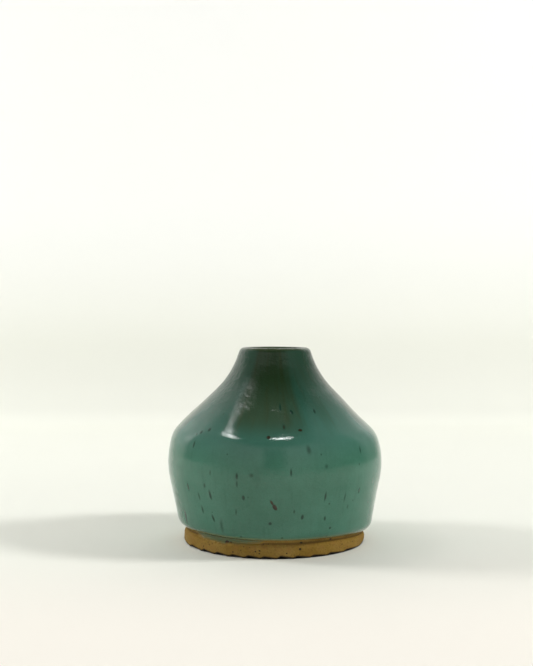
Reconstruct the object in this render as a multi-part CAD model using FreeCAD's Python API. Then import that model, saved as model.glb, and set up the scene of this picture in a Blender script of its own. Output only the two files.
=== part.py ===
"""Ceramic bud vase: a squat, wheel-thrown stoneware bottle with a narrow neck.

A bare clay foot with a wire-cut underside carries the thrown body. A fused glaze coat covers the
outside down to a groove above the foot, and a second coat lines the inside, so it holds water.
Each of these layers is its own solid. Sizes are in millimetres. Z is up, the origin is the centre
of the circle that the vase stands on, and the front of the vase faces -Y.
"""

import FreeCAD, Part

import math
import os

# Driving dimensions. An outline corner is (radius, height, rounding), in order along the outline.
GLAZE = 0.5  # thickness of both glaze coats
WALL = 3.6  # thickness of the thrown clay wall
FLOOR_TOP = 8.2  # height of the clay floor inside
FLOOR_ROUNDING = 7.0  # where the floor turns up into the wall

FOOT_RADIUS = 32.3
FOOT_HEIGHT = 4.7
FOOT_TOP_EDGE = 1.4  # roundings of the foot's two edges
FOOT_BOTTOM_EDGE = 0.5
GROOVE_RADIUS = 31.2  # bottom of the groove between the foot and the body

GLAZE_EDGE = (31.95, 5.45, 0)  # lower edge of the glaze, over the bare clay of the groove
LOWER_CORNER = (34.25, 6.3, 4.0)
BELLY = (38.8, 29.0, 29.0)
SHOULDER = (36.35, 38.7, 11.2)
NECK = (15.85, 58.9, 30.6)
HEIGHT = 68.8
LIP = (12.3, HEIGHT, 2.0)
CREST = (10.7, HEIGHT, 0)  # top of the lip, where the two glaze coats meet

MOUTH_RADIUS = 9.5  # finished bore of the throat
THROAT_ROUNDING = 6.0  # where the inside of the cone turns up into the throat
INNER_LIP_ROUNDING = 0.6

# A twisted cutting wire leaves one-sided troughs, side by side, across the foot's underside.
TROUGH_PITCH = 5.35
TROUGH_WIDTH = 4.0
TROUGH_DEPTH = 0.6
TROUGH_STEEP = 0.5  # width of a trough's steep side
TROUGH_OFFSET = -0.8  # of the middle trough, across the troughs
TROUGH_TURN = -6.5  # degrees that the troughs turn from the front-to-back line

# Glaze that ran down over the groove, on the left of the front. Angles are from +X, in degrees.
RUN_START = 212.0
RUN_SWEEP = 53.0
RUN_REACH = 0.6  # how far it stands out from the bottom of the groove

ORIGIN = FreeCAD.Vector(0, 0, 0)
UP = FreeCAD.Vector(0, 0, 1)


def point(radius, height):
    """A point in the XZ half-plane that profiles are drawn in."""
    return FreeCAD.Vector(radius, 0, height)


def run_directions(corners):
    """The unit direction of each straight run of an outline."""
    points = [point(r, z) for r, z, _ in corners]
    return [(b - a).normalize() for a, b in zip(points, points[1:])]


def turn_between(before, after):
    """Signed angle from one run's direction to the next, positive to the left."""
    cross = before.x * after.z - before.z * after.x
    return math.atan2(cross, before.dot(after))


def inset(corners, distance):
    """The outline moved to its left by distance, with its roundings kept parallel."""
    runs = run_directions(corners)
    moved = []
    for i, (r, z, rounding) in enumerate(corners):
        before = runs[max(i - 1, 0)]
        after = runs[min(i, len(runs) - 1)]
        turn = turn_between(before, after)
        middle = (before + after).normalize()
        left = FreeCAD.Vector(-middle.z, 0, middle.x)
        shift = left * (distance / math.cos(turn / 2))
        if rounding:
            rounding -= math.copysign(distance, turn)
        moved.append((r + shift.x, z + shift.z, rounding))
    return moved


def outline_edges(corners):
    """Straight runs between the corners, joined by tangent arcs where a corner is rounded."""
    runs = run_directions(corners)
    edges = []
    start = point(*corners[0][:2])
    for i, (r, z, rounding) in enumerate(corners[1:-1]):
        before, after = runs[i], runs[i + 1]
        corner = point(r, z)
        if not rounding:
            edges.append(Part.LineSegment(start, corner).toShape())
            start = corner
            continue
        turn = abs(turn_between(before, after))
        reach = rounding * math.tan(turn / 2)
        arc_start = corner - before * reach
        arc_end = corner + after * reach
        to_centre = (after - before).normalize()
        sagitta_point = corner + to_centre * (rounding / math.cos(turn / 2) - rounding)
        edges.append(Part.LineSegment(start, arc_start).toShape())
        edges.append(Part.Arc(arc_start, sagitta_point, arc_end).toShape())
        start = arc_end
    edges.append(Part.LineSegment(start, point(*corners[-1][:2])).toShape())
    return edges


def revolved(edges, start=0.0, sweep=360.0):
    """The solid swept by a closed profile as it turns about the Z axis."""
    face = Part.Face(Part.Wire(Part.__sortEdges__(edges)))
    face.rotate(ORIGIN, UP, start)
    return face.revolve(ORIGIN, UP, sweep)


def coat(corners, thickness):
    """A revolved layer between an outline and the same outline inset by the thickness."""
    under = inset(corners, thickness)
    edges = outline_edges(corners) + outline_edges(under)
    for end in (0, -1):
        outline_end = point(*corners[end][:2])
        under_end = point(*under[end][:2])
        edges.append(Part.LineSegment(outline_end, under_end).toShape())
    return revolved(edges)


def meeting(corner_a, corner_b, radius=None, height=None):
    """Where the line through two corners reaches a radius or a height."""
    (r1, z1, _), (r2, z2, _) = corner_a, corner_b
    if height is None:
        return radius, z1 + (z2 - z1) * (radius - r1) / (r2 - r1)
    return r1 + (r2 - r1) * (height - z1) / (z2 - z1), height


def outside_outline():
    """The glazed outside, from the glaze's lower edge up to the crest of the lip."""
    return [GLAZE_EDGE, LOWER_CORNER, BELLY, SHOULDER, NECK, LIP, CREST]


def inside_outline():
    """The clay's inner surface, from the middle of the floor up to the crest of the lip."""
    wall = inset(outside_outline(), GLAZE + WALL)
    _, lower, belly, shoulder, neck, _, _ = wall
    throat_radius = MOUTH_RADIUS + GLAZE
    clay_top = HEIGHT - GLAZE
    floor_corner = meeting(lower, belly, height=FLOOR_TOP)
    throat_corner = meeting(shoulder, neck, radius=throat_radius)
    return [
        (0, FLOOR_TOP, 0),
        (*floor_corner, FLOOR_ROUNDING),
        belly,
        shoulder,
        (*throat_corner, THROAT_ROUNDING),
        (throat_radius, clay_top, INNER_LIP_ROUNDING),
        (CREST[0], clay_top, 0),
    ]


def clay_foot():
    """A low round slab of bare clay, scored underneath by the cutting wire."""
    rim = [
        (0, 0, 0),
        (FOOT_RADIUS, 0, FOOT_BOTTOM_EDGE),
        (FOOT_RADIUS, FOOT_HEIGHT, FOOT_TOP_EDGE),
        (0, FOOT_HEIGHT, 0),
    ]
    axis = Part.LineSegment(point(0, FOOT_HEIGHT), point(0, 0)).toShape()
    slab = revolved(outline_edges(rim) + [axis])
    return slab.cut(wire_troughs())


def wire_troughs():
    """The troughs as prisms that cross the whole foot from front to back."""
    below = 1.0
    half_length = FOOT_RADIUS + below
    count_each_side = int(FOOT_RADIUS / TROUGH_PITCH)
    prisms = []
    for k in range(-count_each_side, count_each_side + 1):
        left = TROUGH_OFFSET + k * TROUGH_PITCH
        section = [
            (left, -below),
            (left, 0),
            (left + TROUGH_STEEP, TROUGH_DEPTH),
            (left + TROUGH_WIDTH, 0),
            (left + TROUGH_WIDTH, -below),
        ]
        corners = [FreeCAD.Vector(x, -half_length, z) for x, z in section]
        face = Part.Face(Part.makePolygon(corners + corners[:1]))
        prisms.append(face.extrude(FreeCAD.Vector(0, 2 * half_length, 0)))
    troughs = Part.makeCompound(prisms)
    troughs.rotate(ORIGIN, UP, TROUGH_TURN)
    return troughs


def groove_section():
    """From the bottom of the groove up over its bare clay to the glazed clay: three points."""
    edge, corner = inset(outside_outline(), GLAZE)[:2]
    top = meeting(edge, corner, radius=GROOVE_RADIUS)
    return [point(GROOVE_RADIUS, FOOT_HEIGHT), point(*top), point(*edge[:2])]


def clay_body():
    """The thrown body: a thick floor, a round wall drawn in to the neck, and the lip."""
    outer = inset(outside_outline(), GLAZE)
    inner = inside_outline()
    underside = [point(*inner[0][:2]), point(0, FOOT_HEIGHT), *groove_section()]
    edges = [Part.LineSegment(a, b).toShape() for a, b in zip(underside, underside[1:])]
    return revolved(edges + outline_edges(outer) + outline_edges(inner))


def outer_glaze():
    """The glaze coat on the outside, from the crest of the lip down to the groove."""
    return coat(outside_outline(), GLAZE)


def liner_glaze():
    """The glaze coat on the inside, over the floor, the wall and the throat."""
    return coat(inside_outline(), GLAZE)


def groove_glaze_run():
    """Part of a ring: glaze that ran off the coat's lower edge and filled the groove."""
    front = [point(*GLAZE_EDGE[:2]), point(GROOVE_RADIUS + RUN_REACH, FOOT_HEIGHT)]
    section = groove_section() + front
    closed = section + section[:1]
    edges = [Part.LineSegment(a, b).toShape() for a, b in zip(closed, closed[1:])]
    return revolved(edges, RUN_START, RUN_SWEEP)


SUBPARTS = [clay_foot, clay_body, outer_glaze, liner_glaze, groove_glaze_run]


def main():
    os.makedirs("parts", exist_ok=True)
    for build in SUBPARTS:
        shape = build()
        name = build.__name__
        box = shape.optimalBoundingBox()
        print(
            f"{name}: {len(shape.Solids)} solid, valid {shape.isValid()}, {shape.Volume:.0f} mm3, "
            f"x {box.XMin:.2f} to {box.XMax:.2f}, z {box.ZMin:.2f} to {box.ZMax:.2f}"
        )
        shape.exportStep(f"parts/{name}.step")


main()
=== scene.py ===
"""The looks of the ceramic bud vase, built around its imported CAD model.

Every layer of the vase is swept afresh, as a fine mesh, from the outline that its CAD node has.
The layers share one hand-made distortion, so they stay nested. On top of that each has relief of
its own: ripples and a rolled edge in the glaze, throwing rings inside, wire-cut troughs and grit
in the bare foot. Lengths are in millimetres up to the point where a mesh is made.
"""

import math
import random

import bpy
import numpy as np
from mathutils import Matrix, Vector, noise


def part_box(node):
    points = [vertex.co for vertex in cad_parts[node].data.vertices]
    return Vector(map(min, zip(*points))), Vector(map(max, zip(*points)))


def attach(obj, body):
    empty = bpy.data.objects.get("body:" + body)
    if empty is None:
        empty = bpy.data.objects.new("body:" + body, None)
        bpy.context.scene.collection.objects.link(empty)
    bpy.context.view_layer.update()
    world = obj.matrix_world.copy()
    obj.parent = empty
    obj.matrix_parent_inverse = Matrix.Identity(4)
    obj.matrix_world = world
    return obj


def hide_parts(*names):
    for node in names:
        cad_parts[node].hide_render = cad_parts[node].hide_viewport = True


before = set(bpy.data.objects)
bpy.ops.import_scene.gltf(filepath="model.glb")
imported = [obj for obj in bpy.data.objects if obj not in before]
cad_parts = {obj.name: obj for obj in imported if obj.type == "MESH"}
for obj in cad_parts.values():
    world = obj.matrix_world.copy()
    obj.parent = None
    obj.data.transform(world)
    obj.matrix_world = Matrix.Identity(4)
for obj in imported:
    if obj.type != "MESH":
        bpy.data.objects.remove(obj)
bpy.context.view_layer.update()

MM = 0.001
SEED = 7
SEED_STEP = (17.3, 5.1, 9.7)

# How finely the layers are swept, in millimetres along the outline and in steps round the vase.
FINE = 0.42
INSIDE_FINE = 1.6 * FINE
COARSE = 1.5
CURVE_STEPS = 24
STEPS_ROUND = 400
INSIDE_STEPS_ROUND = STEPS_ROUND * 3 // 5
SAME_POINT = 0.03

# The hand-made distortion. It moves the shoulder and the foot sideways, presses the pot out of
# round, and lifts and drops the groove above the foot.
SHOULDER_SHIFT = 0.65
SHOULDER_SHIFT_HEIGHT = 44.0
SHOULDER_SHIFT_SPREAD = 6.0
OUT_OF_ROUND = 0.12
OUT_OF_ROUND_HEIGHT = 30.0
GROOVE_LIFT = -0.33
GROOVE_LIFT_FADE = 16.0
FOOT_SHIFT = 0.3
FOOT_SHIFT_FADE = 7.0

# The waves in the groove's height, one, two and three to a turn: how high each one is, and where
# it has a peak, in degrees from +X.
GROOVE_LIFT_WAVES = [(0.9, -145), (0.5, -80), (0.35, -35)]

# Relief of the glaze.
RIPPLE_SIZE = 7.0
RIPPLE_DEPTH = 0.045
FINE_RIPPLE_SHARE = 0.3
THROWING_PITCH = 3.7
OUTSIDE_RING_DEPTH = 0.018
INSIDE_RING_DEPTH = 0.16
RING_UNEVENNESS = 0.4
RING_UNEVENNESS_HEIGHT = 9.0
BEAD_HEIGHT = 0.2
BEAD_SPREAD = 0.7
EDGE_WANDER = 0.12
EDGE_WANDER_SIZES = (0.35, 0.1)
EDGE_RISE = 0.15
EDGE_RISE_FRONT = 0.40
EDGE_REACH = 2.2
EDGE_ATTRIBUTE = "distance_from_edge"

# The rings inside fade towards the throat and towards the middle of the floor.
RINGS_END_UNDER_LIP = 8.0
RINGS_FADE = 12.0
RINGS_FLOOR_RADIUS = 8.0
LINER_CLEARANCE = 0.02

# The bare foot and the troughs that the cutting wire left under it.
FOOT_TOP_ROUNDING = 1.6
FOOT_BOTTOM_ROUNDING = 0.6
FOOT_STEPS_ROUND = 640
FOOT_UNDERSIDE_RINGS = 56
CUT_ATTRIBUTE = "height_over_cut"
TROUGH_PITCH = 5.35
TROUGH_WIDTH = 4.9
TROUGH_DEPTH = 0.66
TROUGH_STEEP = 0.22
TROUGH_OFFSET = -0.8
TROUGH_TURN = math.radians(-6.5)
TROUGH_WANDER = 0.25
TROUGH_WANDER_SIZE = 9.0
TROUGH_WANDER_STRETCH = 3.0
TROUGH_WIDTHS = (0.92, 1.12)
TROUGH_DEPTHS = (0.8, 1.15)
TROUGH_CROWN = 0.9
TROUGH_FADE_HEIGHT = 2.4
SIDE_FROM_RADIUS = 30.0
SIDE_FADE = 2.0
SIDE_CLEARANCE = 0.06
GRIT_DEPTH = 0.05
GRIT_SIZES = (0.9, 3.5)
COARSE_GRIT_SHARE = 0.6
SCORE_DEPTH = 0.03
SCORE_PHASE_PER_MM = 7.0
SCORE_WANDER = 0.8
EDGE_STEPS = 9
LOWER_EDGE_STEPS = 7

# The soft hollow of bare clay between the foot and the glaze's edge: each point's distance in from
# the edge and its height over the foot.
GROOVE_SECTION = [(0.50, -0.25), (0.46, 0.05), (0.32, 0.35), (0.14, 0.66)]

# The run of glaze over the groove and the foot's upper edge.
RUN_STEPS = 260
RUN_ACROSS = 16
RUN_FILM = 0.10
RUN_POOL = 0.22
RUN_POOL_SPREAD = 0.4
RUN_DROP = 1.25
RUN_DROP_UNEVENNESS = 0.35
RUN_WAVES = 11.0
RUN_OVER_EDGE = 0.25
RUN_TUCK = 0.1
RUN_BACK = 0.6
RUN_ATTRIBUTE = "run_thickness"

# The camera stands in front of the vase, a little above it, and looks slightly down and left.
CAMERA_DISTANCE = 364.7
CAMERA_HEIGHT = 80.1
CAMERA_PITCH = math.radians(0.961)
CAMERA_TURN = math.radians(0.473)
LENS = 54.87


# ---------------------------------------------------------------- outlines from the frame


def outline_points(node):
    """The (radius, height) points that a revolved CAD node's vertices lie on, each once."""
    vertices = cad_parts[node].data.vertices
    flat = np.empty(len(vertices) * 3)
    vertices.foreach_get("co", flat)
    x, y, z = flat.reshape(-1, 3).T / MM
    return np.unique(np.column_stack([np.hypot(x, y), z]).round(2), axis=0)


def split(points, others):
    """The points that others shares, and those that it doesn't."""
    gaps = np.linalg.norm(points[:, None] - others[None], axis=2).min(axis=1)
    return points[gaps < SAME_POINT], points[gaps >= SAME_POINT]


def in_order(points, start):
    """Points in order along their outline, from the one nearest to start, always to the nearest."""
    left = [tuple(p) for p in points]
    here = start
    path = []
    while left:
        nearest = min(left, key=lambda p: math.dist(p, here))
        left.remove(nearest)
        if not path or math.dist(nearest, path[-1]) > SAME_POINT:
            path.append(nearest)
        here = nearest
    return np.array(path)


def smooth_path(points, spacing):
    """Evenly spaced points on a centripetal Catmull-Rom curve through the given ones."""
    ends = np.vstack([2 * points[0] - points[1], points, 2 * points[-1] - points[-2]])
    dense = []
    for a, b, c, d in zip(ends, ends[1:], ends[2:], ends[3:]):
        ta = 0.0
        tb = ta + math.sqrt(np.linalg.norm(b - a))
        tc = tb + math.sqrt(np.linalg.norm(c - b))
        td = tc + math.sqrt(np.linalg.norm(d - c))
        for t in np.linspace(tb, tc, CURVE_STEPS, endpoint=False):
            ab = a + (b - a) * (t - ta) / (tb - ta)
            bc = b + (c - b) * (t - tb) / (tc - tb)
            cd = c + (d - c) * (t - tc) / (td - tc)
            abc = ab + (bc - ab) * (t - ta) / (tc - ta)
            bcd = bc + (cd - bc) * (t - tb) / (td - tb)
            dense.append(abc + (bcd - abc) * (t - tb) / (tc - tb))
    dense = np.vstack([dense, points[-1]])
    along = np.concatenate([[0], np.cumsum(np.linalg.norm(np.diff(dense, axis=0), axis=1))])
    steps = np.linspace(0, along[-1], max(2, round(along[-1] / spacing) + 1))
    return np.column_stack([np.interp(steps, along, dense[:, i]) for i in (0, 1)])


outer_points = outline_points("outer_glaze")
liner_points = outline_points("liner_glaze")
clay_points = outline_points("clay_body")
outside_joint, outside_skin = split(outer_points, clay_points)
inside_joint, inside_skin = split(liner_points, clay_points)

foot_low, foot_high = (np.array(corner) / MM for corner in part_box("clay_foot"))
FOOT_RADIUS = foot_high[0]
FOOT_HEIGHT = foot_high[2]
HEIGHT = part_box("outer_glaze")[1][2] / MM
GLAZE_EDGE = outside_skin[outside_skin[:, 1].argmin()]
RUN_LOW, RUN_HIGH = (np.array(corner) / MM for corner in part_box("groove_glaze_run"))


# ---------------------------------------------------------------- mesh making


def groove_lift(turn):
    """How far the groove lies above its height in the CAD model, by the angle from +X."""
    lift = GROOVE_LIFT
    for count, (size, peak) in enumerate(GROOVE_LIFT_WAVES, start=1):
        lift = lift + size * np.cos(count * (turn - math.radians(peak)))
    return lift


def smoothstep(value):
    """0 below 0 and 1 above 1, with a smooth way between."""
    value = np.clip(value, 0, 1)
    return value * value * (3 - 2 * value)


def handmade(points):
    """Moves points off the perfect turned shape, as hands and the kiln did."""
    x, y, z = points.T
    turn = np.arctan2(y, x)
    rise = smoothstep(z / FOOT_HEIGHT) * (1 - smoothstep((z - FOOT_HEIGHT) / GROOVE_LIFT_FADE))
    climb = z / OUT_OF_ROUND_HEIGHT
    squeeze = 1 + OUT_OF_ROUND / FOOT_RADIUS * np.sin(2 * turn + climb) * smoothstep(climb)
    shift = SHOULDER_SHIFT * np.exp(-(((z - SHOULDER_SHIFT_HEIGHT) / SHOULDER_SHIFT_SPREAD) ** 2))
    shift = shift + FOOT_SHIFT * (1 - smoothstep(z / FOOT_SHIFT_FADE))
    return np.column_stack([x * squeeze - shift, y * squeeze, z + groove_lift(turn) * rise])


def noise_at(points, size, seed=0):
    """Smooth noise from -1 to 1 at each point, with features of about the given size."""
    offset = Vector([seed * step for step in SEED_STEP])
    return np.array([noise.noise(Vector(p) / size + offset) for p in points])


def make_mesh(name, points, faces):
    """A smooth-shaded object in the scene, from points in millimetres."""
    mesh = bpy.data.meshes.new(name)
    mesh.from_pydata([tuple(p) for p in points * MM], [], faces)
    mesh.validate()
    mesh.polygons.foreach_set("use_smooth", [True] * len(mesh.polygons))
    piece = bpy.data.objects.new(name, mesh)
    bpy.context.scene.collection.objects.link(piece)
    return piece


def give(piece, attribute, values):
    """Stores one number for each of a piece's vertices, for its material to read."""
    made = piece.data.attributes.new(attribute, "FLOAT", "POINT")
    made.data.foreach_set("value", values)


def sweep(path, steps):
    """A closed outline turned about the Z axis. Its points on the axis become single vertices.

    Returns the points, each one's place along the path, and the faces.
    """
    rows = []
    points = []
    place = []
    turns = 2 * math.pi * np.arange(steps) / steps
    for i, (radius, height) in enumerate(path):
        if radius < FINE / 4:
            rows.append([len(points)] * steps)
            points.append((0, 0, height))
            place.append(i)
            continue
        rows.append(list(range(len(points), len(points) + steps)))
        points += [(radius * math.cos(t), radius * math.sin(t), height) for t in turns]
        place += [i] * steps
    faces = []
    for low, high in zip(rows, rows[1:] + rows[:1]):
        for k in range(steps):
            face = [low[k], low[(k + 1) % steps], high[(k + 1) % steps], high[k]]
            face = list(dict.fromkeys(face))
            if len(face) > 2:
                faces.append(face)
    return np.array(points), np.array(place), faces


def outward(path):
    """The unit normal of each path point, pointing away from the clay, as (radius, height)."""
    along = np.gradient(path, axis=0)
    normal = np.column_stack([along[:, 1], -along[:, 0]])
    return normal / np.linalg.norm(normal, axis=1)[:, None]


def pushed(points, normals, distance):
    """Points moved along (radius, height) normals by a distance each."""
    turn = np.arctan2(points[:, 1], points[:, 0])
    out, up = normals.T
    move = np.column_stack([out * np.cos(turn), out * np.sin(turn), up])
    return points + move * distance[:, None]


# ---------------------------------------------------------------- the layers of the vase


def glaze_ripple(points):
    """Gentle unevenness of a melted coat."""
    wide = noise_at(points, RIPPLE_SIZE, seed=1)
    narrow = noise_at(points, RIPPLE_SIZE / 4, seed=2)
    return RIPPLE_DEPTH * (wide + FINE_RIPPLE_SHARE * narrow)


def throwing_rings(points, depth):
    """A shallow spiral, as fingers leave on a turning wall."""
    turn = np.arctan2(points[:, 1], points[:, 0])
    phase = 2 * math.pi * points[:, 2] / THROWING_PITCH + turn
    swell = np.sin(points[:, 2] / RING_UNEVENNESS_HEIGHT)
    return depth * np.sin(phase) * (1 - RING_UNEVENNESS + RING_UNEVENNESS * swell)


def outer_coat():
    """The outside glaze: thin on the lip, rolled into a wandering bead over the groove."""
    skin = smooth_path(in_order(outside_skin, GLAZE_EDGE), FINE)
    back = smooth_path(in_order(outside_joint, skin[-1]), COARSE)
    path = np.vstack([skin, back])
    points, place, faces = sweep(path, STEPS_ROUND)
    normals = np.vstack([outward(skin), np.zeros_like(back)])[place]
    from_edge = np.linalg.norm(path - GLAZE_EDGE, axis=1)[place]
    bead = BEAD_HEIGHT * np.exp(-(((from_edge - BEAD_SPREAD) / BEAD_SPREAD) ** 2))
    relief = glaze_ripple(points) + throwing_rings(points, OUTSIDE_RING_DEPTH) + bead
    points = pushed(points, normals, relief)
    turn = np.arctan2(points[:, 1], points[:, 0])
    round_foot = np.column_stack([np.cos(turn), np.sin(turn), 0 * turn])
    slow = noise_at(round_foot, EDGE_WANDER_SIZES[0], seed=3)
    quick = noise_at(round_foot, EDGE_WANDER_SIZES[1], seed=4)
    wander = EDGE_WANDER * (slow + quick / 2)
    rise = EDGE_RISE - EDGE_RISE_FRONT * np.sin(turn) + wander
    points[:, 2] += rise * np.exp(-((from_edge / EDGE_REACH) ** 2))
    piece = make_mesh("outer_glaze_coat", handmade(points), faces)
    give(piece, EDGE_ATTRIBUTE, from_edge)
    return piece


def liner_coat():
    """The inside glaze, over the rings that the potter's fingers left in the wall."""
    skin = smooth_path(in_order(inside_skin, (0, 0)), INSIDE_FINE)
    back = smooth_path(in_order(inside_joint, skin[-1]), COARSE)
    path = np.vstack([skin, back])
    points, place, faces = sweep(path, INSIDE_STEPS_ROUND)
    normals = np.vstack([outward(skin), np.zeros_like(back)])[place]
    under_throat = smoothstep((HEIGHT - RINGS_END_UNDER_LIP - points[:, 2]) / RINGS_FADE)
    off_middle = smoothstep(np.hypot(points[:, 0], points[:, 1]) / RINGS_FLOOR_RADIUS)
    rings = throwing_rings(points, INSIDE_RING_DEPTH)
    relief = rings * under_throat * off_middle - LINER_CLEARANCE
    points = pushed(points, -normals, relief)
    return make_mesh("liner_glaze_coat", handmade(points), faces)


def clay_wall():
    """The clay between the two coats. Only its groove shows, under the outside glaze."""
    outside = smooth_path(in_order(outside_joint, GLAZE_EDGE), COARSE)
    inside = smooth_path(in_order(inside_joint, outside[-1]), COARSE)
    groove = [(GLAZE_EDGE[0] - depth, FOOT_HEIGHT + rise) for depth, rise in GROOVE_SECTION]
    path = np.vstack([(0.0, FOOT_HEIGHT), groove, outside, inside])
    points, place, faces = sweep(path, INSIDE_STEPS_ROUND)
    piece = make_mesh("thrown_clay_wall", handmade(points), faces)
    give(piece, CUT_ATTRIBUTE, points[:, 2])
    return piece


def rounded(corner, rounding, is_upper, steps):
    """Points on a quarter circle inside the foot's upper or lower corner, in order downwards."""
    start, up = (math.pi / 2, 1.0) if is_upper else (0.0, -1.0)
    angles = start - np.linspace(0, math.pi / 2, steps)
    centre = np.array(corner) - rounding * np.array([1.0, up])
    return centre + rounding * np.column_stack([np.cos(angles), np.sin(angles)])


def foot_outline():
    """The foot's section from the middle of its top, over the side, to the underside's rim."""
    top = [(0.0, FOOT_HEIGHT), (FOOT_RADIUS / 2, FOOT_HEIGHT)]
    upper_edge = rounded((FOOT_RADIUS, FOOT_HEIGHT), FOOT_TOP_ROUNDING, True, EDGE_STEPS)
    heights = np.linspace(FOOT_HEIGHT - FOOT_TOP_ROUNDING, FOOT_BOTTOM_ROUNDING, EDGE_STEPS)
    side = [(FOOT_RADIUS, height) for height in heights[1:-1]]
    lower_edge = rounded((FOOT_RADIUS, 0.0), FOOT_BOTTOM_ROUNDING, False, LOWER_EDGE_STEPS)
    radii = np.linspace(FOOT_RADIUS - FOOT_BOTTOM_ROUNDING, 0, FOOT_UNDERSIDE_RINGS + 1)
    underside = [(radius, 0.0) for radius in radii[1:]]
    return np.vstack([top, upper_edge, side, lower_edge, underside])


def trough_depth(points):
    """How high the wire's troughs reach at each point: steep on the left, long on the right."""
    random.seed(SEED)
    x, y = points[:, 0], points[:, 1]
    across = x * math.cos(TROUGH_TURN) + y * math.sin(TROUGH_TURN)
    stretched = np.column_stack([x / TROUGH_WANDER_STRETCH, y, 0 * x])
    across = across + TROUGH_WANDER * noise_at(stretched, TROUGH_WANDER_SIZE, seed=5)
    depth = np.zeros(len(points))
    count = int(FOOT_RADIUS / TROUGH_PITCH) + 1
    for k in range(-count, count + 1):
        start = TROUGH_OFFSET + k * TROUGH_PITCH
        width = TROUGH_WIDTH * random.uniform(*TROUGH_WIDTHS)
        share = (across - start) / width
        shape = np.minimum(share / TROUGH_STEEP, (1 - share) / (1 - TROUGH_STEEP))
        height = TROUGH_DEPTH * random.uniform(*TROUGH_DEPTHS)
        depth = np.maximum(depth, height * np.clip(shape, 0, 1) ** TROUGH_CROWN)
    return depth


def foot():
    """The bare foot: a slab with a soft upper edge, gritty sides and a wire-cut underside."""
    path = foot_outline()
    points, place, faces = sweep(path, FOOT_STEPS_ROUND)
    faces = [face[::-1] for face in faces]
    over_cut = points[:, 2].copy()
    lift = trough_depth(points) * (1 - smoothstep(over_cut / TROUGH_FADE_HEIGHT))
    radius = np.hypot(points[:, 0], points[:, 1])
    on_side = smoothstep((radius - SIDE_FROM_RADIUS) / SIDE_FADE)
    fine_grit = noise_at(points, GRIT_SIZES[0], seed=6)
    coarse_grit = noise_at(points, GRIT_SIZES[1], seed=7)
    grit = GRIT_DEPTH * (fine_grit + COARSE_GRIT_SHARE * coarse_grit)
    turn = np.arctan2(points[:, 1], points[:, 0])
    score_phase = points[:, 2] * SCORE_PHASE_PER_MM + SCORE_WANDER * np.sin(turn * 3)
    scored = SCORE_DEPTH * np.sin(score_phase) * on_side
    normals = np.column_stack([np.ones(len(points)), np.zeros(len(points))])
    points = pushed(points, normals, (grit + scored - SIDE_CLEARANCE) * on_side)
    points[:, 2] += lift
    piece = make_mesh("bare_clay_foot", handmade(points), faces)
    give(piece, CUT_ATTRIBUTE, over_cut)
    return piece


def bare_radius(height):
    """The radius of the clay under the run: the foot's upper edge, and the groove above it."""
    over_centre = height - (FOOT_HEIGHT - FOOT_TOP_ROUNDING)
    round_part = math.sqrt(max(FOOT_TOP_ROUNDING ** 2 - max(over_centre, 0.0) ** 2, 0.0))
    edge_part = FOOT_RADIUS - FOOT_TOP_ROUNDING + round_part
    rises = [rise + FOOT_HEIGHT for _, rise in GROOVE_SECTION]
    radii = [GLAZE_EDGE[0] - depth for depth, _ in GROOVE_SECTION]
    groove_part = float(np.interp(height, rises, radii))
    return max(edge_part, groove_part) if height < FOOT_HEIGHT else groove_part


def glaze_run():
    """A film of glaze that ran off the coat, filled the groove and crept over the foot's edge."""
    start = math.atan2(RUN_HIGH[1], RUN_LOW[0]) % (2 * math.pi)
    end = math.atan2(RUN_LOW[1], RUN_HIGH[0]) % (2 * math.pi)
    top = GLAZE_EDGE[1] + RUN_OVER_EDGE
    points = []
    thickness = []
    for share in np.linspace(0, 1, RUN_STEPS + 1):
        turn = start + (end - start) * share
        swell = math.sin(math.pi * share ** 0.9) ** 0.5
        uneven = noise.noise(Vector((share * RUN_WAVES, 0.3, 0.7)))
        bottom = FOOT_HEIGHT - RUN_DROP * swell * (1 + RUN_DROP_UNEVENNESS * uneven)
        front = []
        for down in np.linspace(0, 1, RUN_ACROSS):
            height = top + (bottom - top) * down
            pool = RUN_POOL * math.exp(-(((height - FOOT_HEIGHT) / RUN_POOL_SPREAD) ** 2))
            film = (RUN_FILM + pool) * swell * math.sqrt(1 - down) - RUN_TUCK * down
            front.append((bare_radius(height) + film, height))
            thickness.append(swell * (1 - down) ** 0.6)
        back = [(radius - RUN_BACK, height) for radius, height in front[::-1]]
        thickness += thickness[-RUN_ACROSS:][::-1]
        points += [(r * math.cos(turn), r * math.sin(turn), z) for r, z in front + back]
    ring = 2 * RUN_ACROSS
    faces = []
    for i in range(RUN_STEPS):
        for j in range(ring):
            a = i * ring + j
            b = i * ring + (j + 1) % ring
            faces.append([a, b, b + ring, a + ring])
    faces.append(list(range(ring))[::-1])
    faces.append([RUN_STEPS * ring + j for j in range(ring)])
    piece = make_mesh("pooled_glaze_run", handmade(np.array(points)), faces)
    give(piece, RUN_ATTRIBUTE, thickness)
    return piece


# ---------------------------------------------------------------- materials


# The radius that places on the unrolled wall are measured at.
MEAN_RADIUS = 34.0
BLACK = (0.0, 0.0, 0.0)


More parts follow.
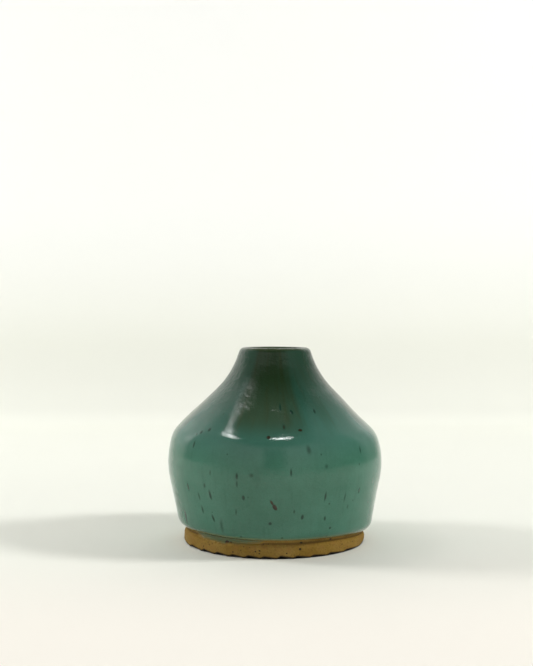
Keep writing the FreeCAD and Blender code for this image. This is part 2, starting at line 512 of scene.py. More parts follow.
class Graph:
    """A short way to write a material's nodes. Places in it are in millimetres."""

    def __init__(self, name):
        self.material = bpy.data.materials.new(name)
        self.material.use_nodes = True
        self.nodes = self.material.node_tree.nodes
        self.links = self.material.node_tree.links
        self.nodes.clear()
        self.shader = self.node("ShaderNodeBsdfPrincipled")
        output = self.node("ShaderNodeOutputMaterial")
        self.links.new(self.shader.outputs[0], output.inputs["Surface"])
        coords = self.node("ShaderNodeTexCoord").outputs["Object"]
        self.place = self.vector("SCALE", coords, scale=1 / MM)
        split_place = self.node("ShaderNodeSeparateXYZ", Vector=self.place)
        self.x, self.y, self.z = split_place.outputs

    def node(self, kind, settings=None, **inputs):
        made = self.nodes.new(kind)
        for key, value in (settings or {}).items():
            setattr(made, key, value)
        for key, value in inputs.items():
            self.feed(made.inputs[key.replace("_", " ")], value)
        return made

    def feed(self, socket, value):
        if isinstance(value, bpy.types.NodeSocket):
            self.links.new(value, socket)
        else:
            socket.default_value = value

    def math(self, operation, *values, clamp=False):
        made = self.nodes.new("ShaderNodeMath")
        made.operation = operation
        made.use_clamp = clamp
        for socket, value in zip(made.inputs, values):
            self.feed(socket, value)
        return made.outputs[0]

    def vector(self, operation, *values, scale=None):
        made = self.nodes.new("ShaderNodeVectorMath")
        made.operation = operation
        for socket, value in zip(made.inputs, values):
            self.feed(socket, value)
        if scale is not None:
            self.feed(made.inputs["Scale"], scale)
        return made.outputs["Value" if operation == "LENGTH" else "Vector"]

    def mix(self, factor, a, b):
        made = self.nodes.new("ShaderNodeMix")
        made.data_type = "RGBA"
        self.feed(made.inputs["Factor"], factor)
        self.feed(made.inputs["A"], a if isinstance(a, bpy.types.NodeSocket) else (*a, 1))
        self.feed(made.inputs["B"], b if isinstance(b, bpy.types.NodeSocket) else (*b, 1))
        return made.outputs["Result"]

    def span(self, value, low, high, out_low=0.0, out_high=1.0):
        """value's way from low to high, smoothed and clamped, as a number between the outs."""
        made = self.node(
            "ShaderNodeMapRange",
            {"interpolation_type": "SMOOTHSTEP"},
            Value=value,
            From_Min=low,
            From_Max=high,
            To_Min=out_low,
            To_Max=out_high,
        )
        return made.outputs["Result"]

    def noise(self, where, scale, detail=2.0, roughness=0.5, distortion=0.0):
        """Noise from 0 to 1, with about scale features to the millimetre."""
        made = self.node(
            "ShaderNodeTexNoise",
            Vector=where,
            Scale=scale,
            Detail=detail,
            Roughness=roughness,
            Distortion=distortion,
        )
        return made.outputs["Fac"]

    def attribute(self, name):
        """The number that give() stored on the mesh's vertices."""
        made = self.nodes.new("ShaderNodeAttribute")
        made.attribute_name = name
        return made.outputs["Fac"]

    def bump(self, height, depth, normal=None):
        """Relief as deep as depth, in millimetres, on top of the normal given."""
        made = self.node("ShaderNodeBump", Height=height, Distance=depth * MM, Strength=1.0)
        if normal:
            self.feed(made.inputs["Normal"], normal)
        return made.outputs["Normal"]

    def distance_from_axis(self):
        flat = self.node("ShaderNodeCombineXYZ", X=self.x, Y=self.y)
        return self.vector("LENGTH", flat.outputs[0])

    def around(self, stretch):
        """A place on the unrolled wall: millimetres round, and height squeezed by stretch."""
        turn = self.math("ARCTAN2", self.x, self.math("MULTIPLY", self.y, -1.0))
        reach = self.math("MULTIPLY", turn, MEAN_RADIUS)
        return self.node(
            "ShaderNodeCombineXYZ", X=reach, Y=self.math("DIVIDE", self.z, stretch), Z=0.0
        ).outputs[0]


# Where one look of the glaze gives way to the next: from and to which height.
SHOULDER_TONE = (HEIGHT - 38, HEIGHT - 28)
CONE_TONE = (HEIGHT - 30, HEIGHT - 16)
NECK_TONE = (HEIGHT - 21, HEIGHT - 7)
OLIVE_STARTS = (HEIGHT - 31, HEIGHT - 22)
OLIVE_DEEPENS = (HEIGHT - 24, HEIGHT - 8)
LIP_TONE = (HEIGHT - 0.8, HEIGHT + 0.5)
NECK_DULLS = (46.0, 57.0)
NECK_ROUGHENS = (43.5, 52.0)

# The roughness of the glaze on the body, on the neck, and at most, and of the pooled run.
BODY_ROUGHNESS = 0.06
NECK_ROUGHNESS = 0.20
MAX_ROUGHNESS = 0.268
RUN_ROUGHNESS = 0.3
GLAZE_IOR = 1.46

# Depths of the relief that is too fine for the mesh.
PEEL_DEPTH = 0.03
POCK_DEPTH = 0.02
GRAIN_DEPTH = 0.018
NECK_TEXTURE_DEPTH = 0.17
SPECK_DEPTH = 0.03
CLAY_GRAIN_DEPTH = 0.13
CLAY_SAND_DEPTH = 0.06
CLAY_PIT_DEPTH = 0.08

# Colours are linear red, green, blue.
GLAZE_BELLY = (0.039, 0.137, 0.088)
GLAZE_CLOUD = (0.052, 0.166, 0.112)
GLAZE_SHOULDER = (0.052, 0.150, 0.122)
# The cone and neck colours hold painted shade with the glaze's own tone; the olives hold painted
# shade and reflection with glaze broken to olive.
GLAZE_CONE_AND_SHADE = (0.023, 0.083, 0.055)
GLAZE_NECK_AND_SHADE = (0.009, 0.039, 0.019)
GLAZE_OLIVE_AND_SHADE = (0.012, 0.027, 0.007)
LOWER_OLIVE_AND_SHADE = (0.041, 0.068, 0.035)
GLAZE_EDGE_AND_HIGHLIGHT = (0.160, 0.215, 0.125)
GLAZE_LIP = (0.075, 0.095, 0.050)
IRON = (0.006, 0.032, 0.019)
IRON_BROWN = (0.026, 0.013, 0.005)
IRON_HALO = (0.016, 0.068, 0.044)
POOLED = (0.095, 0.106, 0.036)
CLAY = (0.205, 0.120, 0.013)
CLAY_PALE = (0.275, 0.172, 0.038)
CLAY_DARK = (0.104, 0.052, 0.006)
CLAY_RED = (0.235, 0.118, 0.026)
# A brown stain with painted shade, for the groove's crease.
CLAY_STAIN_AND_SHADE = (0.105, 0.060, 0.009)
CLAY_IRON = (0.010, 0.008, 0.004)
# Painted shade on the foot's lower rim and in the troughs under it.
CLAY_RIM_SHADE = (0.012, 0.007, 0.002)

# Where the neck is olive, partly glaze broken to olive and partly painted shade and reflection:
# degrees right of the front, and half width.
OLIVE_AND_SHADE_BANDS = [(-7, 24), (78, 11), (131, 17), (-84, 14), (-140, 20)]
OLIVE_BAND_WANDER = 9.0

# The specks that show from the front, read off: degrees right of the front, height, half length,
# half width, lean to the right per millimetre of height, and how faint the speck is: 1 is gone,
# and below 0 it is bolder than most.
GLAZE_SPECKS = [
    (-47.5, 37.0, 1.2, 0.40, 0.0, 0.2),
    (-51.0, 22.5, 1.4, 0.36, -0.1, 0.1),
    (-35.0, 21.0, 1.6, 0.42, -0.15, 0.1),
    (-35.0, 13.0, 1.3, 0.44, -0.25, 0.2),
    (-19.0, 28.0, 1.1, 0.40, 0.0, 0.2),
    (-19.0, 25.5, 1.3, 0.40, 0.0, 0.6),
    (-16.0, 21.0, 0.8, 0.45, 0.0, 0.0),
    (-11.5, 28.5, 0.9, 0.90, 0.0, 0.8),
    (8.0, 29.5, 1.4, 0.36, 0.0, 0.4),
    (14.5, 14.5, 0.8, 0.45, 0.10, 0.0),
    (10.0, 16.5, 0.8, 0.40, 0.0, 0.6),
    (26.5, 21.0, 1.7, 0.38, 0.1, 0.3),
    (27.5, 13.5, 0.9, 0.44, 0.0, 0.4),
    (49.5, 21.5, 1.0, 0.36, 0.1, 0.1),
    (39.0, 20.0, 2.0, 0.40, 0.1, 0.7),
    (42.0, 16.5, 1.0, 0.50, 0.0, 0.8),
    (-2.5, 12.5, 0.5, 0.50, 0.0, 0.0),
    (31.5, 10.0, 0.4, 0.45, 0.0, 0.1),
    (-42.0, 15.5, 1.7, 0.50, -0.1, 0.6),
    (-43.0, 20.0, 1.8, 0.45, -0.1, 0.7),
    (-20.5, 16.0, 1.3, 0.40, 0.1, 0.7),
    (-38.0, 24.0, 1.0, 0.45, 0.0, 0.6),
    (-34.0, 28.5, 1.2, 0.45, 0.0, 0.8),
    (17.5, 36.5, 1.9, 1.00, -0.1, 0.75),
    (50.5, 35.0, 1.6, 0.50, 0.0, 0.7),
    (26.5, 31.0, 1.0, 0.80, 0.0, 0.8),
    (-19.0, 7.5, 0.3, 0.45, 0.0, 0.3),
    (4.0, 7.5, 0.3, 0.45, 0.0, 0.3),
    (30.5, 7.0, 0.3, 0.45, 0.0, 0.3),
    (12.0, 48.0, 0.7, 0.65, -0.3, 0.1),
    (4.0, 49.5, 1.4, 0.50, 0.0, 0.4),
    (30.0, 48.0, 0.8, 0.60, 0.2, 0.2),
    (-41.0, 42.0, 0.6, 0.60, 0.0, 0.2),
    (-46.0, 41.0, 0.6, 0.60, 0.0, 0.3),
]
BROWN_SPECKS = [
    (-1.5, 19.5, 0.95, 0.42, -0.45, 0.1),
    (0.0, 18.0, 0.85, 0.56, -0.35, -0.4),
    (5.5, 43.5, 1.2, 0.80, 0.0, 0.7),
    (15.0, 42.5, 0.4, 0.85, 0.0, 0.1),
    (-3.5, 40.5, 0.5, 0.65, 0.0, 0.0),
]
CLAY_SPECKS = [
    (15.0, 3.2, 0.42, 0.48, 0.0, 0.0),
    (-9.0, 2.8, 0.30, 0.34, 0.0, 0.1),
    (-11.5, 2.5, 0.28, 0.34, 0.0, 0.1),
    (-25.5, 1.8, 0.32, 0.30, 0.0, 0.1),
    (7.0, 2.0, 0.26, 0.32, 0.0, 0.2),
    (16.0, 5.2, 0.34, 0.60, 0.0, 0.0),
    (45.0, 3.0, 0.28, 0.30, 0.0, 0.1),
    (36.0, 5.4, 0.30, 0.55, 0.0, 0.0),
]
RUN_SPECKS = [
    (-30.0, 4.8, 0.40, 0.60, 0.0, -0.6),
    (-27.5, 4.6, 0.36, 0.42, 0.0, -0.6),
]


def speck_group():
    """A reusable group: 1 at a speck's middle, falling to 0 at its rim and lower outside it."""
    tree = bpy.data.node_groups.new("iron_speck", "ShaderNodeTree")
    for name in ("Turn", "Height", "At Turn", "At Height", "Length", "Width", "Lean", "Faint"):
        tree.interface.new_socket(name, in_out="INPUT", socket_type="NodeSocketFloat")
    tree.interface.new_socket("Speck", in_out="OUTPUT", socket_type="NodeSocketFloat")
    given = tree.nodes.new("NodeGroupInput").outputs
    result = tree.nodes.new("NodeGroupOutput").inputs[0]

    def step(operation, a, b):
        made = tree.nodes.new("ShaderNodeMath")
        made.operation = operation
        for socket, value in zip(made.inputs, (a, b)):
            if isinstance(value, bpy.types.NodeSocket):
                tree.links.new(value, socket)
            else:
                socket.default_value = value
        return made.outputs[0]

    up = step("SUBTRACT", given["Height"], given["At Height"])
    across = step("SUBTRACT", given["Turn"], given["At Turn"])
    across = step("SUBTRACT", across, step("MULTIPLY", up, given["Lean"]))
    up = step("DIVIDE", up, given["Length"])
    across = step("DIVIDE", across, given["Width"])
    squares = step("ADD", step("MULTIPLY", up, up), step("MULTIPLY", across, across))
    tree.links.new(step("SUBTRACT", step("SUBTRACT", 1.0, squares), given["Faint"]), result)
    return tree


def placed_specks(graph, group, specks):
    """The listed specks, joined: from below 0 outside them to 1 in the middle of one."""
    spread = graph.node("ShaderNodeSeparateXYZ", Vector=graph.around(1.0))
    result = -1.0
    for degrees, height, length, width, lean, faint in specks:
        made = graph.node("ShaderNodeGroup", {"node_tree": group})
        graph.feed(made.inputs["Turn"], spread.outputs["X"])
        graph.feed(made.inputs["Height"], spread.outputs["Y"])
        graph.feed(made.inputs["At Turn"], math.radians(degrees) * MEAN_RADIUS)
        graph.feed(made.inputs["At Height"], height)
        graph.feed(made.inputs["Length"], length)
        graph.feed(made.inputs["Width"], width)
        graph.feed(made.inputs["Lean"], lean)
        graph.feed(made.inputs["Faint"], faint)
        result = graph.math("MAXIMUM", result, made.outputs[0])
    return result


def scattered_specks(graph, cell, stretch, share, size):
    """Random specks, longer than wide: from -1 far from any to 1 in the middle of one."""
    where = graph.around(stretch)
    bend = graph.node("ShaderNodeTexNoise", Vector=where, Scale=0.9).outputs["Color"]
    bent = graph.vector("ADD", where, graph.vector("SCALE", bend, scale=0.5))
    cells = graph.node("ShaderNodeTexVoronoi", Vector=bent, Scale=1 / cell, Randomness=1.0)
    chance = graph.node("ShaderNodeSeparateColor", Color=cells.outputs["Color"])
    chosen = graph.math("LESS_THAN", chance.outputs["Red"], share)
    radius = graph.math("MULTIPLY_ADD", chance.outputs["Green"], size, size / 3)
    inside = graph.math("SUBTRACT", 2.0, graph.math("DIVIDE", cells.outputs["Distance"], radius))
    inside = graph.math("MULTIPLY", graph.math("MAXIMUM", inside, 0.0), chosen)
    return graph.math("SUBTRACT", inside, 1.0)


def olive_and_shade_bands(graph):
    """1 inside the uneven vertical bands on the neck, falling to 0 beside them."""
    spread = graph.node("ShaderNodeSeparateXYZ", Vector=graph.around(1.0))
    uneven = graph.noise(graph.around(4.0), 0.25, detail=3)
    across = graph.math("SUBTRACT", spread.outputs["X"], OLIVE_BAND_WANDER / 2)
    across = graph.math("MULTIPLY_ADD", uneven, OLIVE_BAND_WANDER, across)
    result = 0.0
    for degrees, half_width in OLIVE_AND_SHADE_BANDS:
        away = graph.math("SUBTRACT", across, math.radians(degrees) * MEAN_RADIUS)
        away = graph.math("ABSOLUTE", away)
        away = graph.math("DIVIDE", away, math.radians(half_width) * MEAN_RADIUS)
        result = graph.math("MAXIMUM", result, graph.span(away, 0.65, 1.2, 1.0, 0.0))
    return result


def glaze_material(name, group, specks=(), brown_specks=(), pooled=0.0):
    """Glossy blue-green glaze with iron specks. pooled is how brown-green it has become."""
    graph = Graph(name)
    cloud = graph.noise(graph.place, 0.055, detail=4, roughness=0.6)
    mottle = graph.noise(graph.place, 0.9, detail=3, roughness=0.65)
    grain = graph.noise(graph.place, 3.2, detail=2, roughness=0.6)
    streaks = graph.noise(graph.around(6.0), 0.3, detail=3, roughness=0.6, distortion=0.4)
    drips = graph.noise(graph.around(7.0), 0.45, detail=2, roughness=0.6)

    colour = graph.mix(graph.span(cloud, 0.35, 0.7), GLAZE_BELLY, GLAZE_CLOUD)
    colour = graph.mix(graph.span(mottle, 0.4, 0.75, 0.0, 0.4), colour, GLAZE_CLOUD)
    colour = graph.mix(graph.span(grain, 0.45, 0.8, 0.0, 0.35), colour, IRON_HALO)
    colour = graph.mix(graph.span(drips, 0.52, 0.75, 0.0, 0.16), colour, IRON_HALO)
    colour = graph.mix(graph.span(graph.z, *SHOULDER_TONE, 0.0, 0.5), colour, GLAZE_SHOULDER)
    # Painted shade with the glaze's own tone: the cone and the neck darken upwards.
    colour = graph.mix(graph.span(graph.z, *CONE_TONE), colour, GLAZE_CONE_AND_SHADE)
    colour = graph.mix(graph.span(graph.z, *NECK_TONE, 0.0, 0.9), colour, GLAZE_NECK_AND_SHADE)
    # Painted shade and reflection with glaze broken to olive: olive bands and streaks on the neck.
    olive = graph.math("ADD", olive_and_shade_bands(graph), graph.span(streaks, 0.45, 0.8, 0.0, 0.5))
    olive = graph.math("MULTIPLY", olive, graph.span(graph.z, *OLIVE_STARTS))
    olive = graph.math("MULTIPLY", olive, 0.8, clamp=True)
    deep = graph.span(graph.z, *OLIVE_DEEPENS)
    colour = graph.mix(olive, colour, graph.mix(deep, LOWER_OLIVE_AND_SHADE, GLAZE_OLIVE_AND_SHADE))
    uneven_height = graph.math("MULTIPLY_ADD", mottle, 0.8, graph.z)
    colour = graph.mix(graph.span(uneven_height, *LIP_TONE, 0.0, 0.8), colour, GLAZE_LIP)
    colour = graph.mix(graph.span(mottle, 0.25, 0.6, 0.6 * pooled, pooled), colour, POOLED)

    large = scattered_specks(graph, cell=4.6, stretch=3.4, share=0.30, size=0.12)
    small = scattered_specks(graph, cell=1.6, stretch=1.5, share=0.16, size=0.10)
    marks = graph.math("MAXIMUM", large, small)
    marks = graph.math("MAXIMUM", marks, placed_specks(graph, group, specks))
    brown = placed_specks(graph, group, brown_specks)
    halo = graph.span(graph.math("MAXIMUM", marks, brown), -1.2, 0.6, 0.0, 0.5)
    colour = graph.mix(halo, colour, IRON_HALO)
    colour = graph.mix(graph.span(marks, -0.5, 0.8, 0.0, 0.93), colour, IRON)
    colour = graph.mix(graph.span(brown, -0.3, 0.6, 0.0, 0.95), colour, IRON_BROWN)
    graph.feed(graph.shader.inputs["Base Color"], colour)

    rough = graph.span(graph.z, *NECK_DULLS, BODY_ROUGHNESS, NECK_ROUGHNESS)
    rough = graph.math("MULTIPLY", rough, graph.span(mottle, 0.3, 0.8, 0.9, 1.5))
    rough = graph.math("MINIMUM", rough, MAX_ROUGHNESS)
    rough = graph.math("MAXIMUM", rough, RUN_ROUGHNESS * pooled)
    graph.feed(graph.shader.inputs["Roughness"], rough)
    graph.shader.inputs["IOR"].default_value = GLAZE_IOR
    peel = graph.noise(graph.place, 0.5, detail=2, roughness=0.5)
    normal = graph.bump(peel, PEEL_DEPTH)
    pocks = graph.noise(graph.place, 1.4, detail=1, roughness=0.5)
    normal = graph.bump(pocks, POCK_DEPTH, normal)
    normal = graph.bump(grain, GRAIN_DEPTH, normal)
    texture = graph.noise(graph.place, 0.9, detail=3, roughness=0.6)
    texture = graph.math("MULTIPLY", texture, graph.span(graph.z, *NECK_ROUGHENS))
    normal = graph.bump(texture, NECK_TEXTURE_DEPTH, normal)
    normal = graph.bump(graph.span(marks, -0.2, 0.8), SPECK_DEPTH, normal)
    graph.feed(graph.shader.inputs["Normal"], normal)
    return graph


def outer_glaze_material(name, group):
    """The glaze of the outside, which thins to a pale line along its lower edge: thin glaze over
    the clay, with a painted highlight on its rolled bead.
    """
    graph = glaze_material(name, group, GLAZE_SPECKS, BROWN_SPECKS)
    colour = graph.shader.inputs["Base Color"].links[0].from_socket
    # Pale edge line: thin glaze over clay, with a painted highlight.
    uneven = graph.noise(graph.place, 0.7, detail=2)
    distance = graph.math("MULTIPLY_ADD", uneven, 0.5, graph.attribute(EDGE_ATTRIBUTE))
    edge_line_and_highlight = graph.span(distance, 2.0, 2.7, 0.8, 0.0)
    graph.feed(graph.shader.inputs["Base Color"], graph.mix(edge_line_and_highlight, colour, GLAZE_EDGE_AND_HIGHLIGHT))
    return graph


def run_material(name, group):
    """Pooled olive glaze that thins to a stain on the clay at its edges."""
    graph = glaze_material(name, group, RUN_SPECKS, RUN_SPECKS, pooled=0.9)
    colour = graph.shader.inputs["Base Color"].links[0].from_socket
    uneven = graph.noise(graph.place, 1.3, detail=3)
    uneven = graph.math("MULTIPLY_ADD", uneven, 0.4, -0.2)
    film = graph.math("ADD", graph.attribute(RUN_ATTRIBUTE), uneven)
    stained = graph.mix(graph.span(film, 0.15, 0.7), CLAY, colour)
    graph.feed(graph.shader.inputs["Base Color"], stained)
    return graph


def clay_material(name, group):
    """Bare, matt, speckled buff stoneware, browner along the groove with a stain and painted shade,
    and with painted dark shade at its lower rim.
    """
    graph = Graph(name)
    cloud = graph.noise(graph.place, 0.12, detail=5, roughness=0.65)
    grain = graph.noise(graph.place, 1.6, detail=4, roughness=0.7)
    sand = graph.noise(graph.place, 4.5, detail=2, roughness=0.6)
    colour = graph.mix(graph.span(cloud, 0.3, 0.7), CLAY, CLAY_PALE)
    colour = graph.mix(graph.span(grain, 0.46, 0.75, 0.0, 0.7), colour, CLAY_DARK)
    colour = graph.mix(graph.span(sand, 0.55, 0.8, 0.0, 0.5), colour, CLAY_PALE)
    colour = graph.mix(graph.span(sand, 0.28, 0.46, 0.35, 0.0), colour, CLAY_DARK)
    blotch = graph.noise(graph.place, 0.35, detail=3, roughness=0.6)
    colour = graph.mix(graph.span(blotch, 0.45, 0.7, 0.0, 0.5), colour, CLAY_RED)
    height = graph.attribute(CUT_ATTRIBUTE)
    # A brown stain with painted shade: the clay darkens in the crease where the foot meets the
    # wall.
    under = graph.span(height, FOOT_HEIGHT - 0.45, FOOT_HEIGHT, 0.0, 0.85)
    over = graph.span(height, FOOT_HEIGHT + 0.1, FOOT_HEIGHT + 0.6, 1.0, 0.15)
    colour = graph.mix(graph.math("MULTIPLY", under, over), colour, CLAY_STAIN_AND_SHADE)
    marks = scattered_specks(graph, cell=1.1, stretch=1.0, share=0.4, size=0.2)
    marks = graph.math("MAXIMUM", marks, placed_specks(graph, group, CLAY_SPECKS))
    colour = graph.mix(graph.span(marks, -0.2, 0.4, 0.0, 0.9), colour, CLAY_IRON)
    # Painted shade: the lower rim, the underside near it and the troughs' ceilings go near-black.
    near_rim = graph.span(graph.distance_from_axis(), FOOT_RADIUS - 7, FOOT_RADIUS - 2)
    rim = graph.span(height, 0.25, 0.9, 0.97, 0.0)
    colour = graph.mix(graph.math("MULTIPLY", rim, near_rim), colour, CLAY_RIM_SHADE)
    graph.feed(graph.shader.inputs["Base Color"], colour)
    graph.shader.inputs["Roughness"].default_value = 0.85
    graph.shader.inputs["IOR"].default_value = 1.4
    pits = graph.node("ShaderNodeTexVoronoi", Vector=graph.place, Scale=1.1).outputs["Distance"]
    normal = graph.bump(grain, CLAY_GRAIN_DEPTH)
    normal = graph.bump(sand, CLAY_SAND_DEPTH, normal)
    normal = graph.bump(graph.span(pits, 0.0, 0.22), CLAY_PIT_DEPTH, normal)
    graph.feed(graph.shader.inputs["Normal"], normal)
    return graph


# ---------------------------------------------------------------- stage, light and camera


# The paper's colours, and where it changes tone: from where to where, and how much darker.
# Its brighter front and wall are painted light, and its darker bend, sides and foot contact are
# painted shade.
TABLE = (0.875, 0.882, 0.806)
TABLE_FRONT_LIT = (0.97, 0.93, 0.85)
WALL = (0.985, 0.99, 0.975)
PAPER_ROUGHNESS = 0.9
PAPER_GLOSS = 0.05
FRONT_LIGHTENS = (-120, 0)
WALL_LIGHTENS = (20, 180)
BEND_DARKENS = (1, 12)
BEND_CLEARS = (30, 90)
BEND_SHADE = 0.06
FOOT_SHADE_EDGE = (FOOT_RADIUS - 1.2, FOOT_RADIUS - 0.2)
FOOT_SHADE = 0.97
RIGHT_DARKENS = (215, 480)
RIGHT_SHADE = 0.6
LEFT_DARKENS = (-700, -230)
LEFT_SHADE = 0.2
PAPER_UNEVENNESS = 0.02

# The backdrop's section, from its near edge in front to its top behind, and its half width.
BACKDROP_NEAR = -2500.0
BACKDROP_WALL = 420.0
BACKDROP_BEND = 60.0
BACKDROP_TOP = 1500.0
BACKDROP_SIDE = 2500.0
BEND_STEPS = 13


def paper_material(name):
    """Pale paper, warmer and brighter in front and lighter up the wall as painted light, with
    painted shade at its bend, its sides and the foot's contact.
    """
    graph = Graph(name)
    tone = graph.noise(graph.place, 0.004, detail=2)
    # Painted light: the paper is brighter and warmer in front.
    shade = graph.mix(graph.span(graph.y, *FRONT_LIGHTENS), TABLE_FRONT_LIT, TABLE)
    shade = graph.mix(graph.span(tone, 0.3, 0.7, 0.0, PAPER_UNEVENNESS), shade, BLACK)
    # Painted light: the paper is lighter and whiter up the wall.
    shade = graph.mix(graph.span(graph.z, *WALL_LIGHTENS), shade, WALL)
    # Painted shade where the paper bends up.
    rising = graph.span(graph.z, *BEND_DARKENS)
    bend = graph.math("MULTIPLY", rising, graph.span(graph.z, *BEND_CLEARS, BEND_SHADE, 0.0))
    shade = graph.mix(bend, shade, BLACK)
    # Painted shade: near-black on the paper under the foot, seen through the troughs.
    near = graph.span(graph.distance_from_axis(), *FOOT_SHADE_EDGE, FOOT_SHADE, 0.0)
    low = graph.span(graph.z, 1, 2, 1.0, 0.0)
    shade = graph.mix(graph.math("MULTIPLY", near, low), shade, BLACK)
    # Painted shade: the paper darkens far to the right and to the left.
    shade = graph.mix(graph.span(graph.x, *RIGHT_DARKENS, 0.0, RIGHT_SHADE), shade, BLACK)
    shade = graph.mix(graph.span(graph.x, *LEFT_DARKENS, LEFT_SHADE, 0.0), shade, BLACK)
    graph.feed(graph.shader.inputs["Base Color"], shade)
    graph.shader.inputs["Roughness"].default_value = PAPER_ROUGHNESS
    graph.shader.inputs["Specular IOR Level"].default_value = PAPER_GLOSS
    return graph.material


def sweep_backdrop():
    """A pale table that curves up into a wall behind the vase."""
    bend_start = BACKDROP_WALL - BACKDROP_BEND
    outline = [(BACKDROP_NEAR, 0.0), (0.0, 0.0), (bend_start, 0.0)]
    for turn in np.linspace(0, math.pi / 2, BEND_STEPS)[1:]:
        out = BACKDROP_BEND * math.sin(turn)
        up = BACKDROP_BEND - BACKDROP_BEND * math.cos(turn)
        outline.append((bend_start + out, up))
    outline.append((BACKDROP_WALL, BACKDROP_TOP))
    points = [(x, y, z) for y, z in outline for x in (-BACKDROP_SIDE, BACKDROP_SIDE)]
    faces = [[2 * i, 2 * i + 1, 2 * i + 3, 2 * i + 2] for i in range(len(outline) - 1)]
    backdrop = make_mesh("backdrop", np.array(points), faces)
    backdrop.data.materials.append(paper_material("backdrop_paper"))
    return backdrop


# Lamps: name, direction from the vase, distance, the two sides of the face, power in watts, and
# where the long side points. The strips show in the gloss, and the windows light things.
STRIPS = [
    ("left_strip", (-0.508, -0.08, 0.86), 1000, (310, 22), 1.3, (-0.051, 0.383, -0.012)),
    ("left_glow", (-0.46, 0.18, 0.87), 1000, (90, 50), 0.08, (0, 1, 0)),
    ("top_strip", (0.103, -0.287, 0.944), 1000, (230, 44), 1.9, (0.219, 0.121, 0.013)),
]
WINDOWS = [
    ("right_window", (0.80, -0.10, 0.50), 1200, (240, 180), 8.8, (0, 1, 0)),
    ("left_window", (-0.86, 0.15, 0.42), 1200, (300, 220), 6.4, (0, 1, 0)),
    ("left_high_window", (-0.5, 0.1, 0.85), 1200, (400, 300), 0.8, (0, 1, 0)),
]


def soft_light(name, direction, distance, size, power, long_side, mirrored):
    """A rectangular lamp that faces the middle of the vase.

    Its long side lies as near as it can to the given direction. A mirrored lamp only shows in
    the gloss, and one that isn't mirrored only lights things.
    """
    lamp = bpy.data.lights.new(name, "AREA")
    lamp.shape = "RECTANGLE"
    lamp.size, lamp.size_y = (side * MM for side in size)
    lamp.energy = power
    light = bpy.data.objects.new(name, lamp)
    back = Vector(direction).normalized()
    along = Vector(long_side)
    along = (along - along.dot(back) * back).normalized()
    turn = Matrix((along, back.cross(along), back)).transposed()
    place = back * distance * MM + Vector((0, 0, HEIGHT / 2 * MM))
    light.matrix_world = Matrix.Translation(place) @ turn.to_4x4()
    light.visible_glossy = mirrored
    light.visible_diffuse = not mirrored
    bpy.context.scene.collection.objects.link(light)
    return light


# The light of the room, as a share of full white: from the sides and behind the vase, from behind
# the camera, and what it is multiplied by far to the right and around two directions.
ROOM_COLOUR = (1.0, 1.0, 0.985, 1.0)
ROOM_STRENGTH = 0.33
ROOM_FRONT = 0.80
ROOM_FRONT_TO_BACK = (-0.95, 0.1)
ROOM_RIGHT = 0.66
ROOM_RIGHT_FADE = (0.3, 1.0)
ROOM_LEFT_BACK = 1.1
ROOM_LEFT_BACK_DIRECTION = (-0.65, 0.45, 0.62)
ROOM_LEFT_BACK_EDGES = (0.8, 0.97)
ROOM_DARK = 0.08
ROOM_DARK_DIRECTION = (0.0, -0.35, 0.94)
ROOM_DARK_EDGES = (0.78, 0.93)
SPAN_SOCKETS = ("From Min", "From Max", "To Min", "To Max")


def room_light():
    """White light from all round, dimmer to the right and dark overhead."""
    world = bpy.data.worlds.new("room")
    bpy.context.scene.world = world
    world.use_nodes = True
    nodes, links = world.node_tree.nodes, world.node_tree.links
    nodes.clear()
    output = nodes.new("ShaderNodeOutputWorld")
    background = nodes.new("ShaderNodeBackground")
    links.new(background.outputs[0], output.inputs["Surface"])
    background.inputs["Color"].default_value = ROOM_COLOUR
    way = nodes.new("ShaderNodeTexCoord").outputs["Generated"]
    split_way = nodes.new("ShaderNodeSeparateXYZ")
    links.new(way, split_way.inputs[0])

    def span(value, *numbers):
        made = nodes.new("ShaderNodeMapRange")
        made.interpolation_type = "SMOOTHSTEP"
        links.new(value, made.inputs["Value"])
        for key, number in zip(SPAN_SOCKETS, numbers):
            made.inputs[key].default_value = number
        return made.outputs["Result"]

    def patch(direction, edges, brightness):
        """1 away from a direction, and brightness near it. The edges are cosines from it."""
        towards = nodes.new("ShaderNodeVectorMath")
        towards.operation = "DOT_PRODUCT"
        links.new(way, towards.inputs[0])
        towards.inputs[1].default_value = Vector(direction).normalized()
        return span(towards.outputs["Value"], *edges, 1.0, brightness)

    strength = span(split_way.outputs["Y"], *ROOM_FRONT_TO_BACK, ROOM_FRONT, ROOM_STRENGTH)
    factors = [
        span(split_way.outputs["X"], *ROOM_RIGHT_FADE, 1.0, ROOM_RIGHT),
        patch(ROOM_DARK_DIRECTION, ROOM_DARK_EDGES, ROOM_DARK),
        patch(ROOM_LEFT_BACK_DIRECTION, ROOM_LEFT_BACK_EDGES, ROOM_LEFT_BACK),
    ]
    for factor in factors:
        product = nodes.new("ShaderNodeMath")
        product.operation = "MULTIPLY"
        links.new(strength, product.inputs[0])
        links.new(factor, product.inputs[1])
        strength = product.outputs[0]
    links.new(strength, background.inputs["Strength"])


# A dark card's soft edge, as a share of its half side, and the rays that don't meet it.
CARD_SOFT_EDGE = 0.2
UNSEEN_BY = ("camera", "diffuse", "transmission", "volume_scatter", "shadow")


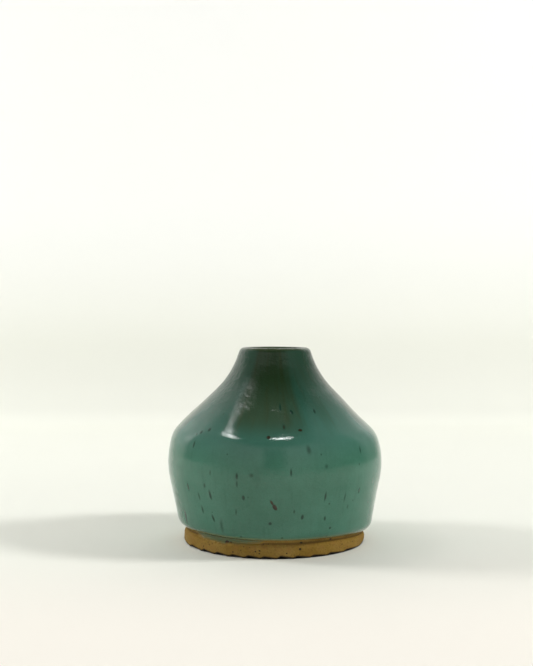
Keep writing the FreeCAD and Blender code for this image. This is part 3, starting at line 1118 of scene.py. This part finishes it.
def dark_card(name, centre, size, tilt, brightness):
    """A dark card with soft edges, which shows in nothing but the gloss of the vase.

    Its centre and its two sides are in millimetres. It lies level and then tilts about the X axis.
    """
    half = np.array([*size, 0.0]) / 2
    corners = np.array([(-1, -1, 0), (1, -1, 0), (1, 1, 0), (-1, 1, 0)])
    card = make_mesh(name, corners * half, [[0, 1, 2, 3]])
    card.location = Vector(centre) * MM
    card.rotation_euler = (tilt, 0, 0)
    graph = Graph(name + "_paper")
    inside = 1.0
    for place, reach in ((graph.x, half[0]), (graph.y, half[1])):
        away = graph.math("DIVIDE", graph.math("ABSOLUTE", place), reach)
        near = graph.span(away, 1 - CARD_SOFT_EDGE, 1.0, 1.0, 0.0)
        inside = graph.math("MULTIPLY", inside, near)
    graph.feed(graph.shader.inputs["Alpha"], inside)
    graph.shader.inputs["Base Color"].default_value = (*BLACK, 1.0)
    graph.shader.inputs["Specular IOR Level"].default_value = 0.0
    graph.shader.inputs["Emission Color"].default_value = ROOM_COLOUR
    graph.shader.inputs["Emission Strength"].default_value = brightness
    card.data.materials.append(graph.material)
    for kind in UNSEEN_BY:
        setattr(card, "visible_" + kind, False)
    return card


def shade_only_strips(canopy, windows):
    """Lets the windows' light through the canopy, so that it shades the neck from the strips."""
    let_through = bpy.data.collections.new("let_through")
    let_through.objects.link(canopy)
    let_through.collection_objects[0].light_linking.link_state = "EXCLUDE"
    for window in windows:
        window.light_linking.blocker_collection = let_through


def camera():
    data = bpy.data.cameras.new("camera")
    data.lens = LENS
    data.clip_start = 0.01
    made = bpy.data.objects.new("camera", data)
    made.location = (0, -CAMERA_DISTANCE * MM, CAMERA_HEIGHT * MM)
    made.rotation_euler = (math.pi / 2 - CAMERA_PITCH, 0, CAMERA_TURN)
    bpy.context.scene.collection.objects.link(made)
    bpy.context.scene.camera = made


# ---------------------------------------------------------------- the scene

speck = speck_group()
outer_glaze = outer_glaze_material("blue_green_glaze", speck).material
liner_glaze = glaze_material("liner_glaze", speck).material
run_glaze = run_material("pooled_glaze", speck).material
bare_clay = clay_material("bare_stoneware", speck).material

LAYERS = [
    (foot, "clay_foot", "foot_clay", bare_clay),
    (clay_wall, "clay_body", "body_clay", bare_clay),
    (outer_coat, "outer_glaze", "outer_glaze", outer_glaze),
    (liner_coat, "liner_glaze", "liner_glaze", liner_glaze),
    (glaze_run, "groove_glaze_run", "run_glaze", run_glaze),
]
for build, node, slot, material in LAYERS:
    piece = build()
    piece.data.materials.append(material)
    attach(piece, "root")
    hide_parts(node)

sweep_backdrop()
dark_card("dark_card", (0, -1500, 200), (680, 1900), math.pi / 2, 0.16)
canopy = dark_card("dark_canopy", (0, -4, 110), (92, 96), 0.0, 0.03)
canopy.visible_shadow = True
room_light()
for strip in STRIPS:
    soft_light(*strip, mirrored=True)
windows = [soft_light(*window, mirrored=False) for window in WINDOWS]
shade_only_strips(canopy, windows)
camera()
bpy.context.scene.view_settings.view_transform = "Standard"
